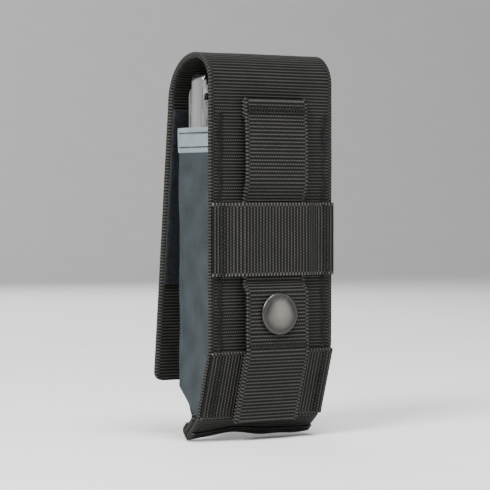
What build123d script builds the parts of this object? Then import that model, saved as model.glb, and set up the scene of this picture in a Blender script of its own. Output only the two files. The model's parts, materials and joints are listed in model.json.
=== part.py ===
"""A folding plier multi tool carried in a webbing belt and vest sheath.

X runs across the sheath, the back of the sheath faces -Y, the flap hangs at +Y and +Z is up.
The origin is the middle of the outer face of the mid band, where the sheath bears on its
carrier. All lengths are in millimetres.
"""
from build123d import *
import os
from math import cos, radians, sin

os.makedirs("parts", exist_ok=True)

# ---------------------------------------------------------------- driving dimensions
WIDE = 50.8                 # wide webbing of the panels, crown and flap
NARROW = 25.4               # narrow webbing of the straps and bands
HALF = WIDE / 2
WEB_T = 2.0                 # wide webbing thickness
TAPE_T = 1.4                # narrow webbing thickness
AIR = 0.1                   # clearance between sewn layers
CROSS = 300.0               # a length longer than the whole object, for through cuts

BACK_Y = 3.0                # outer face of the back panel
FRONT_Y = 25.6              # outer face of the front panel
CROWN_AXIS = (4.0, 54.0)    # (y, z) where the back panel starts to roll over
FLAP_AXIS = (31.4, 47.6)    # (y, z) where the crown ends and the flap hangs
CROWN_BACK_R = 10.0         # centre-line radius over the back edge
CROWN_TOP_Z = 65.0          # centre line of the crown's highest point
FLAP_LENGTH = 99.8
FLAP_TILT = 6.0             # how far the open flap hangs from plumb, degrees
FLAP_CORNER_R = 3.0

BEND = (BACK_Y, -38.8)      # outer back line: where it starts to slant forward
HEEL = (11.0, -63.8)        # and where the bottom seam starts
SEAM_END = (18.6, -70.8)    # lower edge of the bottom seam
MOUTH_Z = 38.8              # top of the pocket's sides and front
FRONT_LOW_Z = -52.0         # where the front panel turns in to the bottom seam
FRONT_SEAM = 2.2            # where it meets the seam, along the seam
BACK_LINE_R = (14.0, 3.0)   # centre-line radii of the back panel's two bends
FRONT_LINE_R = (8.0, 1.6)
HEM_UP = 6.8                # upper edge of the bottom binding, along the seam
HEM_T = 0.6
GUSSET_X = (23.7, 24.7)     # inner and outer face of a side gusset
BINDING_H = 8.0
BINDING_T = 0.45
HOOK_TOP, HOOK_LOW, HOOK_T = 30.0, -15.0, 1.2
HOOK_W = 38.0
LOOP_START, LOOP_END, LOOP_T = 3.0, 65.0, 1.4   # along the flap from its hinge
LOOP_W = 49.0

BAND_H = NARROW
BAND_FLAT = 13.4            # half width of the raised middle of the mid band
BAND_SEWN = 7.5             # sewn length at each end of the mid band
LOWER_BAND = (0.8, 25.2)    # upper and lower edge down the slant
STRAP_BOW = 2.1             # how far the strap stands off the panel between its seams
STRAP_FOLD = 7.0            # length of its folded, sewn top end
STRAP_TOP_Z = 49.8
STRAP_LOW_Z = -13.7
TAIL_AXIS = (2.2, -14.9)    # (y, z) where the loose strap leaves the mid band
SNAP_Z = -26.2
SNAP_R = 7.5
TAB_GAP = 0.2               # between the lower band and the pull tab
TAB_END = 26.0              # pull tab length below its bar tack

TOOL_HALF = 22.8            # half width of the closed tool
TOOL_TOP = 58.8
TOOL_LENGTH = 101.2
SCALE_BACK = (6.9, 8.0)     # y ranges of the layers of the closed tool, back to front
BLADE_BACK = (8.3, 10.5)
CHANNEL = (10.8, 20.6)
BLADE_FRONT = (20.9, 22.3)
SCALE_FRONT = (22.5, 23.3)
SHEET_T = 1.2               # steel sheet of the handle channels
LOCK_SLIT_Y = 2.2           # middle of the lock spring's slit, in from the handle's back
LOCK_SLIT_W = 0.5
LOCK_SLIT_L = 22.0
LOCK_NOTCH_H = 2.6
LOCK_NOTCHES = ((1.3, 1.7), (8.6, 1.6))     # (below the handle's top, depth)
AXLE_X = 14.6               # implement axle, out from the middle
AXLE_Z = 50.5
AXLE_R = 2.0
LUG_X = 8.0                 # plier lug pivot, out from the middle
LUG_Z = -36.5
LUG_R = 2.2
JAW_Z = -22.0               # plier jaw pivot
JAW_BOSS_R = 7.5
JAW_TIP_Z = 32.0
PLIERS = (CHANNEL[0] + SHEET_T + AIR, CHANNEL[1] - SHEET_T - AIR)
RUN = 0.05                  # running clearance round a pin


# ---------------------------------------------------------------- helpers
def save(part, name):
    """Label one piece and write it."""
    part.label = name
    export_step(part, f"parts/{name}.step")
    return part


def side_plane(half_width):
    """Plane for a profile drawn as (y, z) and extruded across the width from -half_width."""
    return Plane.YZ.offset(-half_width)


def inset(points, distance):
    """Shift an open (y, z) polyline sideways, to its left, keeping its corners mitred."""
    runs = [(Vector(*b) - Vector(*a)).normalized() for a, b in zip(points, points[1:])]
    sides = [Vector(-run.Y, run.X) for run in runs]
    sides = [sides[0]] + sides + [sides[-1]]
    shifted = []
    for point, before, after in zip(points, sides, sides[1:]):
        middle = before + after
        shift = middle * (2 * distance / middle.dot(middle))
        shifted.append((point[0] + shift.X, point[1] + shift.Y))
    return shifted


def tape(points, radii, thickness, width):
    """A tape of even thickness: a filleted (y, z) centre line, extruded across the width."""
    with BuildPart() as piece:
        with BuildSketch(side_plane(width / 2)):
            with BuildLine():
                FilletPolyline(*points, radius=radii)
            trace(line_width=thickness)
        extrude(amount=width)
    return piece.part


def rod_along_x(axis, radius, width):
    """A round bead across the width, such as the rolled end of a tape."""
    with BuildPart() as piece:
        with BuildSketch(side_plane(width / 2)):
            with Locations(axis):
                Circle(radius)
        extrude(amount=width)
    return piece.part


def slab(plane, width, top, bottom, thickness, corner=0.0):
    """A flat plate on a plane whose local y runs down the plate, grown along its normal."""
    with BuildPart() as piece:
        with BuildSketch(plane) as outline:
            with Locations((0, (top + bottom) / 2)):
                Rectangle(width, bottom - top)
            if corner:
                fillet(outline.vertices().group_by(Axis.Y)[-1], corner)
        extrude(amount=thickness)
    return piece.part


def layer(y_range):
    """Plane for an (x, z) outline whose extrusion by thick(y_range) fills that y range."""
    return Plane.XZ.offset(-y_range[1])


def thick(y_range):
    return y_range[1] - y_range[0]


# ---------------------------------------------------------------- sheath shell
back_line = [(CROWN_AXIS[0] - WEB_T / 2, CROWN_AXIS[1] - WEB_T / 2 - 0.3), BEND, HEEL, SEAM_END]
seam_dir = (Vector(*SEAM_END) - Vector(*HEEL)).normalized()
seam_length = (Vector(*SEAM_END) - Vector(*HEEL)).length
seam_plane = Plane(origin=(-HALF, *HEEL), x_dir=(0, seam_dir.X, seam_dir.Y), z_dir=(1, 0, 0))


def seam_point(along, inward):
    """(y, z) of a point on the bottom seam, along it and inward from its outer face."""
    return (HEEL[0] + seam_dir.X * along - seam_dir.Y * inward,
            HEEL[1] + seam_dir.Y * along + seam_dir.X * inward)


def snap_disc(y_low, y_high, radius):
    """A round plate of the snap, on its axis."""
    with BuildPart() as piece:
        with BuildSketch(layer((y_low, y_high))):
            with Locations((0, SNAP_Z)):
                Circle(radius)
        extrude(amount=y_high - y_low)
    return piece.part


POST_R = 1.6
POST_HEAD_R = 4.5
POST_HEAD_Y = BACK_Y + WEB_T - 0.6
with BuildPart() as back_panel:
    add(tape(inset(back_line, WEB_T / 2), BACK_LINE_R, WEB_T, WIDE))
    add(snap_disc(BACK_Y - 1, BACK_Y + 4, POST_R), mode=Mode.SUBTRACT)
    add(snap_disc(POST_HEAD_Y, BACK_Y + 4, POST_HEAD_R), mode=Mode.SUBTRACT)
save(back_panel.part, "back_panel")

front_middle = FRONT_Y - WEB_T / 2
layer_middle = WEB_T + AIR / 2 + WEB_T / 2
front_line = [(front_middle, MOUTH_Z), (front_middle, FRONT_LOW_Z),
              seam_point(FRONT_SEAM, layer_middle), seam_point(seam_length, layer_middle)]
front_panel = tape(front_line, FRONT_LINE_R, WEB_T, WIDE)
save(front_panel, "front_panel")

hem_reach = seam_length + AIR - HEM_UP
with BuildPart() as bottom_hem:
    with BuildSketch(seam_plane):
        with Locations((HEM_UP, -HEM_T - AIR / 2)):
            Rectangle(hem_reach + HEM_T, 2 * (WEB_T + HEM_T + AIR), align=(Align.MIN, Align.MIN))
        with Locations((HEM_UP, -AIR / 2)):
            Rectangle(hem_reach, 2 * (WEB_T + AIR), align=(Align.MIN, Align.MIN),
                      mode=Mode.SUBTRACT)
    extrude(amount=WIDE)
save(bottom_hem.part, "bottom_hem")

for side, name in ((-1, "left"), (1, "right")):
    inner_x, outer_x = GUSSET_X
    with BuildPart() as gusset:
        with BuildSketch(Plane.YZ.offset(inner_x)):
            with BuildLine():
                Polyline((BACK_Y + 1, MOUTH_Z), (BACK_Y + 1, BEND[1]), (HEEL[0] + 1, HEEL[1]),
                         seam_point(FRONT_SEAM, layer_middle), (front_middle, FRONT_LOW_Z),
                         (front_middle, MOUTH_Z), close=True)
            make_face()
        extrude(amount=outer_x - inner_x)
        add(back_panel.part, mode=Mode.SUBTRACT)
        add(front_panel, mode=Mode.SUBTRACT)
    with BuildPart() as binding:
        with BuildSketch(Plane.XY.offset(MOUTH_Z - BINDING_H)):
            with Locations(((inner_x + outer_x) / 2, (BACK_Y + FRONT_Y) / 2)):
                Rectangle(outer_x - inner_x + 2 * BINDING_T + AIR, FRONT_Y - BACK_Y - 2 * WEB_T)
        extrude(amount=BINDING_H + BINDING_T)
        with BuildSketch(Plane.XY.offset(MOUTH_Z - BINDING_H)):
            with Locations(((inner_x + outer_x) / 2, (BACK_Y + FRONT_Y) / 2)):
                Rectangle(outer_x - inner_x + AIR, FRONT_Y - BACK_Y)
        extrude(amount=BINDING_H, mode=Mode.SUBTRACT)
    for piece, label in ((gusset.part, f"gusset_{name}"), (binding.part, f"gusset_binding_{name}")):
        save(piece if side > 0 else mirror(piece, about=Plane.YZ), label)

front_face = Plane(origin=(0, FRONT_Y, 0), x_dir=(1, 0, 0), z_dir=(0, 1, 0))
save(slab(front_face, HOOK_W, -HOOK_TOP, -HOOK_LOW, HOOK_T), "hook_patch")

# ---------------------------------------------------------------- crown and flap
with BuildPart() as crown:
    with BuildSketch(side_plane(HALF)):
        with BuildLine():
            back_centre = (CROWN_AXIS[0] + CROWN_BACK_R, CROWN_TOP_Z - CROWN_BACK_R)
            front_r = FLAP_AXIS[0] - back_centre[0]
            Line(CROWN_AXIS, (CROWN_AXIS[0], back_centre[1]))
            CenterArc(back_centre, CROWN_BACK_R, 180, -90)
            CenterArc((back_centre[0], CROWN_TOP_Z - front_r), front_r, 90, -85)
        trace(line_width=WEB_T)
        with Locations(CROWN_AXIS):
            Circle(WEB_T / 2)
    extrude(amount=WIDE)
save(crown.part, "flap_crown")

tilt = radians(FLAP_TILT)
flap_plane = Plane(origin=(0, *FLAP_AXIS), x_dir=(1, 0, 0), z_dir=(0, cos(tilt), sin(tilt)))
with BuildPart() as flap_panel:
    add(slab(flap_plane.offset(-WEB_T / 2), WIDE, 0.0, FLAP_LENGTH, WEB_T, FLAP_CORNER_R))
    add(rod_along_x(FLAP_AXIS, WEB_T / 2, WIDE))
save(flap_panel.part, "flap_panel")
loop_plane = flap_plane.offset(-WEB_T / 2 - LOOP_T)
save(slab(loop_plane, LOOP_W, LOOP_START, LOOP_END, LOOP_T), "loop_patch")

# ---------------------------------------------------------------- bands and strap on the back
strap_middle = BACK_Y - AIR - TAPE_T / 2
upper_line = [(strap_middle, STRAP_TOP_Z - STRAP_FOLD + 0.5),
              (strap_middle - STRAP_BOW, STRAP_TOP_Z - 13),
              (strap_middle - STRAP_BOW, 20.0), (strap_middle, 14.0), (strap_middle, STRAP_LOW_Z)]
with BuildPart() as upper_strap:
    add(tape(upper_line, [8.0, 8.0, 8.0], TAPE_T, NARROW))
    with BuildSketch(side_plane(NARROW / 2)) as folded_end:
        with Locations((BACK_Y - AIR, STRAP_TOP_Z)):
            Rectangle(2 * TAPE_T, STRAP_FOLD, align=(Align.MAX, Align.MAX))
        fillet(folded_end.vertices().group_by(Axis.Y)[-1], 1.0)
    extrude(amount=NARROW)
save(upper_strap.part, "upper_strap")

band_line = [(-HALF, strap_middle), (-HALF + BAND_SEWN, strap_middle), (-BAND_FLAT, TAPE_T / 2),
             (BAND_FLAT, TAPE_T / 2), (HALF - BAND_SEWN, strap_middle), (HALF, strap_middle)]
with BuildPart() as mid_band:
    with BuildSketch(Plane.XY.offset(-BAND_H / 2)):
        with BuildLine():
            FilletPolyline(*band_line, radius=1.5)
        trace(line_width=TAPE_T)
    extrude(amount=BAND_H)
save(mid_band.part, "mid_band")

slant = (Vector(*HEEL) - Vector(*BEND)).normalized()
slant_plane = Plane(origin=(0, *BEND), x_dir=(-1, 0, 0), z_dir=(0, slant.Y, -slant.X))
save(slab(slant_plane.offset(AIR / 2), WIDE, *LOWER_BAND, TAPE_T), "lower_band")

snap_face = -1.0            # outer face of the loose strap at the snap
tail_middle = snap_face + TAPE_T / 2
tab_axis_offset = AIR + TAPE_T + TAB_GAP + TAPE_T
TAB_AXIS = (BEND[0] + slant.Y * tab_axis_offset, BEND[1] - slant.X * tab_axis_offset)
tail_line = [TAIL_AXIS, (TAIL_AXIS[0], TAIL_AXIS[1] - 0.8), (tail_middle, -18.6),
             (tail_middle, TAB_AXIS[1] + TAPE_T + 0.4)]
with BuildPart() as strap_tail:
    add(tape(tail_line, [0.9, 2.0], TAPE_T, NARROW))
    add(rod_along_x(TAIL_AXIS, TAPE_T / 2, NARROW))
    add(snap_disc(snap_face - 1, snap_face + TAPE_T + 1, 2.0), mode=Mode.SUBTRACT)
save(strap_tail.part, "strap_tail")

tab_plane = Plane(origin=(0, *TAB_AXIS), x_dir=slant_plane.x_dir, z_dir=slant_plane.z_dir)
with BuildPart() as pull_tab:
    add(slab(tab_plane.offset(-TAPE_T), NARROW, 0.0, TAB_END, 2 * TAPE_T))
    fillet(pull_tab.edges().filter_by(Axis.X).group_by(Axis.Z)[0], 1.0)
    add(rod_along_x(TAB_AXIS, TAPE_T, NARROW))
save(pull_tab.part, "pull_tab")

# ---------------------------------------------------------------- snap fastener
strap_inner = snap_face + TAPE_T
SOCKET_LOW = 2.4            # face of the socket next to the stud's flange


def snap_turned(points):
    """A turned snap piece: (radius, y) corners spun about the snap's axis."""
    with BuildPart() as piece:
        with BuildSketch(Plane.XY.offset(SNAP_Z)):
            with BuildLine():
                Polyline(*points, close=True)
            make_face()
        revolve(axis=Axis((0, 0, SNAP_Z), (0, 1, 0)))
    return piece.part


CAP_RISE = 2.1
POST_LIP_R = 2.6
with BuildPart() as snap_cap:
    add(snap_disc(snap_face - CAP_RISE, snap_face, SNAP_R))
    fillet(snap_cap.edges().group_by(Axis.Y)[0], CAP_RISE - 0.4)
    add(snap_disc(snap_face, strap_inner + 0.4, 2.0))
    add(snap_disc(strap_inner + 0.4, strap_inner + 0.6, POST_LIP_R))
save(snap_cap.part, "snap_cap")
save(snap_turned([(2.0, strap_inner), (6.0, strap_inner), (6.0, SOCKET_LOW), (3.3, SOCKET_LOW),
                  (3.3, SOCKET_LOW - 0.4), (3.9, SOCKET_LOW - 0.4), (3.9, SOCKET_LOW - 1.0),
                  (3.3, SOCKET_LOW - 1.0), (3.3, strap_inner + 0.4), (2.0, strap_inner + 0.4)]),
     "snap_socket")
save(snap_turned([(3.2, SOCKET_LOW - 0.95), (3.8, SOCKET_LOW - 0.95), (3.8, SOCKET_LOW - 0.45),
                  (3.2, SOCKET_LOW - 0.45)]), "snap_ring_spring")
save(snap_turned([(POST_R, BACK_Y), (5.5, BACK_Y), (5.5, BACK_Y - 0.4), (2.3, BACK_Y - 0.4),
                  (2.3, 1.9), (2.7, 1.6), (2.7, 1.35), (2.4, 1.1), (POST_R, 1.1)]), "snap_stud")
save(snap_turned([(0, 1.3), (POST_R, 1.3), (POST_R, POST_HEAD_Y), (POST_HEAD_R, POST_HEAD_Y),
                  (POST_HEAD_R, POST_HEAD_Y + 0.5), (0, POST_HEAD_Y + 0.5)]), "snap_post")

# ---------------------------------------------------------------- tool: handles
TOOL_LOW = TOOL_TOP - TOOL_LENGTH
HANDLE_GAP = 0.4            # from the middle plane to a handle's open side
HANDLE_W = TOOL_HALF - HANDLE_GAP
HANDLE_X = -(TOOL_HALF + HANDLE_GAP) / 2


def handle_outline(top, low, width=HANDLE_W, corner=3.2):
    """Rounded plate outline of one left-hand handle layer, in the (x, z) plane."""
    with Locations((HANDLE_X, (top + low) / 2)):
        RectangleRounded(width, top - low, corner)


def pin_hole(x, z, radius):
    """Round hole in an (x, z) outline."""
    with Locations((x, z)):
        Circle(radius + RUN, mode=Mode.SUBTRACT)


with BuildPart() as handle_left:
    with BuildSketch(layer(CHANNEL)):
        handle_outline(TOOL_TOP, TOOL_LOW)
        pin_hole(-AXLE_X, AXLE_Z, AXLE_R)
        pin_hole(-LUG_X, LUG_Z, LUG_R)
    extrude(amount=thick(CHANNEL))
    trough = (CHANNEL[0] + SHEET_T, CHANNEL[1] - SHEET_T)
    with BuildSketch(layer(trough)):
        with Locations((-TOOL_HALF + SHEET_T, 0)):
            Rectangle(TOOL_HALF, CROSS, align=(Align.MIN, Align.CENTER))
    extrude(amount=thick(trough), mode=Mode.SUBTRACT)
    # a slit that frees the web beside it as a lock spring, and its two stop notches
    with BuildSketch(Plane.YZ.offset(-TOOL_HALF - 1)):
        with Locations((CHANNEL[0] + LOCK_SLIT_Y, TOOL_TOP - LOCK_SLIT_L / 2)):
            Rectangle(LOCK_SLIT_W, LOCK_SLIT_L)
        for below, depth in LOCK_NOTCHES:
            with Locations((CHANNEL[0], TOOL_TOP - below)):
                Rectangle(depth, LOCK_NOTCH_H, align=(Align.MIN, Align.CENTER))
    extrude(amount=SHEET_T + 3.5, mode=Mode.SUBTRACT)
save(handle_left.part, "handle_left")
save(mirror(handle_left.part, about=Plane.YZ), "handle_right")

SCALE_TOP = TOOL_TOP - 2.2
SCALE_LOW = TOOL_LOW + 7.0
for name, y_range in (("back", SCALE_BACK), ("front", SCALE_FRONT)):
    with BuildPart() as scale:
        with BuildSketch(layer(y_range)):
            handle_outline(SCALE_TOP, SCALE_LOW, HANDLE_W - 0.8, 6.0)
            pin_hole(-AXLE_X, AXLE_Z, AXLE_R)
            pin_hole(HANDLE_X, SCALE_LOW + 7.0, 1.2)
            with Locations((-TOOL_HALF + 4.5, 20.0)):
                SlotOverall(22.0, 5.0, rotation=90, mode=Mode.SUBTRACT)
        extrude(amount=thick(y_range))
    save(scale.part, f"scale_left_{name}")
    save(mirror(scale.part, about=Plane.YZ), f"scale_right_{name}")

# ---------------------------------------------------------------- tool: pins and spacers
HEAD_R = 3.3
HEAD_H = 1.3


def turned_pin(x, z, steps):
    """A headed pin along Y: (low y, high y, radius) steps on one axis."""
    with BuildPart() as piece:
        for low, high, radius in steps:
            with BuildSketch(layer((low, high))):
                with Locations((x, z)):
                    Circle(radius)
            extrude(amount=high - low)
    return piece.part


for side, name in ((-1, "left"), (1, "right")):
    axle = turned_pin(side * AXLE_X, AXLE_Z,
                      [(SCALE_BACK[0] - 0.9, SCALE_BACK[0], HEAD_R),
                       (SCALE_BACK[0], SCALE_FRONT[1], AXLE_R),
                       (SCALE_FRONT[1], SCALE_FRONT[1] + HEAD_H, HEAD_R)])
    save(axle, f"implement_axle_{name}")
    lug_pin = turned_pin(side * LUG_X, LUG_Z, [(CHANNEL[0], CHANNEL[1], LUG_R)])
    save(lug_pin, f"plier_lug_pin_{name}")
    with BuildPart() as scale_spacers:
        for y_range in ((SCALE_BACK[1], CHANNEL[0]), (CHANNEL[1], SCALE_FRONT[0])):
            with BuildSketch(layer(y_range)):
                with Locations((side * -HANDLE_X, SCALE_LOW + 5.0)):
                    RectangleRounded(14.0, 7.0, 2.0)
            extrude(amount=thick(y_range))
        for y_range in (SCALE_BACK, SCALE_FRONT):
            with BuildSketch(layer(y_range)):
                with Locations((side * -HANDLE_X, SCALE_LOW + 7.0)):
                    Circle(1.2)
            extrude(amount=thick(y_range))
    save(scale_spacers.part, f"scale_spacers_{name}")

# ---------------------------------------------------------------- tool: pliers
LAP_Y = (PLIERS[0] + PLIERS[1]) / 2
CUP_R = 3.6
CUP_H = 1.2


def plier_half(lap_range, cup_range):
    """Lug on the left, crossing at the pivot to the jaw on the right."""
    with BuildPart() as half:
        with BuildSketch(layer(PLIERS)):
            with BuildLine():
                Polyline((0.15, JAW_Z + JAW_BOSS_R + 1.0), (7.6, JAW_Z + JAW_BOSS_R + 0.6),
                         (7.6, 0.0), (2.8, JAW_TIP_Z), (0.15, JAW_TIP_Z), close=True)
            make_face()
            with Locations((-LUG_X, LUG_Z)):
                Circle(5.0)
        extrude(amount=thick(PLIERS))
        with BuildSketch(layer(lap_range)):
            with Locations((0, JAW_Z)):
                Circle(JAW_BOSS_R)
            with BuildLine():
                Polyline((-LUG_X - 4.6, LUG_Z + 2.0), (-JAW_BOSS_R + 0.4, JAW_Z + 2.0),
                         (JAW_BOSS_R * 0.6, JAW_Z - 4.0), (-LUG_X + 4.4, LUG_Z - 2.4), close=True)
            make_face()
            with BuildLine():
                Polyline((0.15, JAW_Z), (7.4, JAW_Z), (7.6, JAW_Z + JAW_BOSS_R + 1.2),
                         (0.15, JAW_Z + JAW_BOSS_R + 1.2), close=True)
            make_face()
        extrude(amount=thick(lap_range))
        with BuildSketch(layer(PLIERS)):
            with Locations((0, JAW_Z)):
                Circle(AXLE_R + RUN)
            with Locations((-LUG_X, LUG_Z)):
                Circle(LUG_R + RUN)
        extrude(amount=thick(PLIERS), mode=Mode.SUBTRACT)
        with BuildSketch(layer(cup_range)):
            with Locations((0, JAW_Z)):
                Circle(CUP_R + RUN)
        extrude(amount=thick(cup_range), mode=Mode.SUBTRACT)
        # gripping teeth, in even grooves across the flat of the jaw
        with BuildSketch(layer(PLIERS)):
            with Locations(*[(0.15, z) for z in range(8, int(JAW_TIP_Z) - 1, 2)]):
                RegularPolygon(0.7, 4)
        extrude(amount=thick(PLIERS), mode=Mode.SUBTRACT)
        with BuildSketch(layer(PLIERS)):
            with Locations((0.0, -5.5)):
                Rectangle(3.0, 6.2)
        extrude(amount=thick(PLIERS), mode=Mode.SUBTRACT)
    return half.part


half_gap = AIR / 2
plier_right = plier_half((PLIERS[0], LAP_Y - half_gap), (PLIERS[0], PLIERS[0] + CUP_H))
plier_other = plier_half((LAP_Y + half_gap, PLIERS[1]), (PLIERS[1] - CUP_H, PLIERS[1]))
save(plier_right, "plier_jaw_right")
save(mirror(plier_other, about=Plane.YZ), "plier_jaw_left")
save(turned_pin(0, JAW_Z, [(PLIERS[0], PLIERS[0] + CUP_H, CUP_R),
                           (PLIERS[0] + CUP_H, PLIERS[1] - CUP_H, AXLE_R)]), "jaw_pivot_screw")
save(turned_pin(0, JAW_Z, [(PLIERS[1] - CUP_H, PLIERS[1], CUP_R)]), "jaw_pivot_nut")
with BuildPart() as cutters:
    for side in (-1, 1):
        with BuildSketch(layer((PLIERS[0] + 1, PLIERS[1] - 1))):
            with BuildLine():
                Polyline((side * 0.1, -5.5), (side * 1.5, -8.5), (side * 1.5, -2.5), close=True)
            make_face()
        extrude(amount=thick(PLIERS) - 2)
save(cutters.part, "wire_cutter_inserts")

# ---------------------------------------------------------------- tool: outer blades
BLADE_TANG_R = 7.0
SPINE_X = -TOOL_HALF + 1.2
EDGE_X = -4.6
NECK_Z = 36.0


def outer_blade(name, y_range, mirrored, profile):
    """A blade beside its handle: a round tang on the axle and its own (x, z) profile."""
    with BuildPart() as blade:
        with BuildSketch(layer(y_range)):
            with Locations((-AXLE_X, AXLE_Z)):
                Circle(BLADE_TANG_R)
            with BuildLine():
                Polyline(*profile, close=True)
            make_face()
            pin_hole(-AXLE_X, AXLE_Z, AXLE_R)
        extrude(amount=thick(y_range))
    save(mirror(blade.part, about=Plane.YZ) if mirrored else blade.part, name)


def toothed(x, top, low, pitch, depth):
    """A row of triangular teeth down an edge."""
    count = int((top - low) / pitch)
    rows = [[(x, top - i * pitch), (x - depth, top - (i + 0.5) * pitch)] for i in range(count)]
    return [point for row in rows for point in row] + [(x, top - count * pitch)]


neck = [(SPINE_X, NECK_Z), (SPINE_X, AXLE_Z), (-AXLE_X + 6.0, AXLE_Z - 3.0), (EDGE_X - 2, NECK_Z)]
blade_foot = SCALE_LOW + 10.5
outer_blade("knife_blade", BLADE_BACK, False,
            neck + [(EDGE_X, NECK_Z - 3), (EDGE_X, 0.0), (EDGE_X - 1.6, -10.0),
                    (EDGE_X - 5.4, -19.0), (-14.5, blade_foot), (SPINE_X + 1.0, -8.0)])
outer_blade("serrated_blade", BLADE_BACK, True,
            neck + toothed(EDGE_X, NECK_Z - 3, 0.0, 3.0, 0.9)
            + [(EDGE_X - 2.0, -12.0), (-12.5, blade_foot), (SPINE_X, -14.0)])
outer_blade("saw_blade", BLADE_FRONT, False,
            neck + toothed(EDGE_X - 3, NECK_Z - 2, blade_foot + 2, 2.0, 1.1)
            + [(EDGE_X - 6.0, blade_foot), (SPINE_X, blade_foot)])
outer_blade("file_blade", BLADE_FRONT, True,
            neck + [(EDGE_X - 2, NECK_Z - 2), (EDGE_X - 2, blade_foot), (SPINE_X, blade_foot)])

# ---------------------------------------------------------------- tool: inner implements
SLOT_PITCH = 1.88
IMPLEMENT_T = 1.6
TANG_R = 4.8
INNER_X = -10.2             # side of an implement next to the pliers
OUTER_X = -20.6             # side of an implement next to the web


def implement(name, slot, mirrored, profile):
    """A folded implement in one slot of a handle channel, hung on the implement axle."""
    middle = (trough[0] + trough[1]) / 2 + (slot - 1.5) * SLOT_PITCH
    y_range = (middle - IMPLEMENT_T / 2, middle + IMPLEMENT_T / 2)
    with BuildPart() as blade:
        with BuildSketch(layer(y_range)):
            with Locations((-AXLE_X, AXLE_Z)):
                Circle(TANG_R)
            with BuildLine():
                Polyline((-AXLE_X - 3, AXLE_Z), *profile, (-AXLE_X + 3, AXLE_Z), close=True)
            make_face()
            pin_hole(-AXLE_X, AXLE_Z, AXLE_R)
        extrude(amount=IMPLEMENT_T)
    save(mirror(blade.part, about=Plane.YZ) if mirrored else blade.part, name)


def driver(half_width, length, shoulder):
    """Profile of a flat driver: a broad shank with a narrower tip."""
    low = AXLE_Z - length
    return [(OUTER_X, AXLE_Z - 8), (OUTER_X, low + shoulder), (-AXLE_X - half_width, low + shoulder - 5),
            (-AXLE_X - half_width, low), (-AXLE_X + half_width, low),
            (-AXLE_X + half_width, low + shoulder - 5), (INNER_X, low + shoulder), (INNER_X, AXLE_Z - 8)]


implement("large_screwdriver", 0, False, driver(3.6, 52.0, 20.0))
implement("can_opener", 1, False,
          [(OUTER_X, 40.0), (OUTER_X, 12.0), (-18.0, 8.0), (-12.0, 12.5), (-16.5, 18.0),
           (-12.5, 22.0), (INNER_X, 28.0)])
implement("bottle_opener", 2, False,
          [(OUTER_X, 40.0), (OUTER_X, 6.0), (-15.0, 2.0), (INNER_X, 6.0), (-14.0, 12.0),
           (-17.0, 16.0), (INNER_X, 24.0)])
implement("awl", 3, False, [(-18.2, 40.0), (-17.4, 10.0), (-15.0, -6.0), (-13.4, 8.0), (-12.6, 40.0)])
implement("small_screwdriver", 0, True, driver(1.6, 48.0, 22.0))
implement("phillips_driver", 1, True,
          [(OUTER_X, 42.0), (-17.2, 20.0), (-17.0, 4.0), (-15.0, -2.0), (-14.2, -2.0), (-12.2, 4.0),
           (-12.0, 20.0), (INNER_X, 42.0)])
implement("wood_chisel", 2, True, driver(4.2, 50.0, 12.0))
implement("package_hook", 3, True,
          [(OUTER_X, 40.0), (OUTER_X, 14.0), (-18.6, 9.0), (INNER_X, 9.0), (INNER_X, 12.0),
           (-16.0, 13.0), (-16.0, 17.0), (INNER_X, 21.0)])

for side, name in ((-1, "left"), (1, "right")):
    gaps = [(trough[0] + trough[1]) / 2 + (k - 1) * SLOT_PITCH for k in range(3)]
    washer_t = SLOT_PITCH - IMPLEMENT_T
    with BuildPart() as washers:
        for middle in gaps:
            with BuildSketch(layer((middle - washer_t / 2, middle + washer_t / 2))):
                with Locations((side * AXLE_X, AXLE_Z)):
                    Circle(3.6)
                    Circle(AXLE_R + RUN, mode=Mode.SUBTRACT)
            extrude(amount=washer_t)
    save(washers.part, f"implement_washers_{name}")
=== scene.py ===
"""Looks of the multi tool and its webbing sheath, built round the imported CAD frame.

Dimensions are in millimetres where they meet MM, and metres everywhere else.
"""
import bisect
import json
import math
import random

import bmesh
import bpy
from mathutils import Matrix, Vector, noise


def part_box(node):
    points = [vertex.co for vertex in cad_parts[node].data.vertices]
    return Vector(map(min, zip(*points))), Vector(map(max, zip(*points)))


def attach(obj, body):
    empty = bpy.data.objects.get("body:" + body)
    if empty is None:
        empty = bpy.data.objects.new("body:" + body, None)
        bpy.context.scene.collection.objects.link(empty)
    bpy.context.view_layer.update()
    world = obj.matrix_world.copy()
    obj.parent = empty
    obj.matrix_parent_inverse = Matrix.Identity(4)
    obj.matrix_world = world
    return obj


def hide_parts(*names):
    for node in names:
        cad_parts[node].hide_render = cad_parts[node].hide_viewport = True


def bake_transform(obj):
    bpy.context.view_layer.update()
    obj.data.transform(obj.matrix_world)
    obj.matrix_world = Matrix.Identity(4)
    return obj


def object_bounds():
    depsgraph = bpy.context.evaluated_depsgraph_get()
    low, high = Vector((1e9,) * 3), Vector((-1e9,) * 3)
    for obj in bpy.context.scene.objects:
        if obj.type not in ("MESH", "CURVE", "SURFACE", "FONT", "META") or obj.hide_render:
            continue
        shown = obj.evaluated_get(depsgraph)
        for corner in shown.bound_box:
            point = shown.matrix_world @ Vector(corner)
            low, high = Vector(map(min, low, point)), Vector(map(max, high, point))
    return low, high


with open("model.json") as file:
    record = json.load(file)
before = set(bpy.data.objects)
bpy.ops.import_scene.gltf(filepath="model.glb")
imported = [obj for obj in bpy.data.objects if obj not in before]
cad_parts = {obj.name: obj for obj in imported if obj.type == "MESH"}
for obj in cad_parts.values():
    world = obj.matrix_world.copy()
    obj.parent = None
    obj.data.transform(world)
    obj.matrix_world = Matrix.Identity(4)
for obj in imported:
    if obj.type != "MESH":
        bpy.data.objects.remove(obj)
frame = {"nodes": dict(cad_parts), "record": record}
cad_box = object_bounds()
MM = 0.001
random.seed(7)

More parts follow.
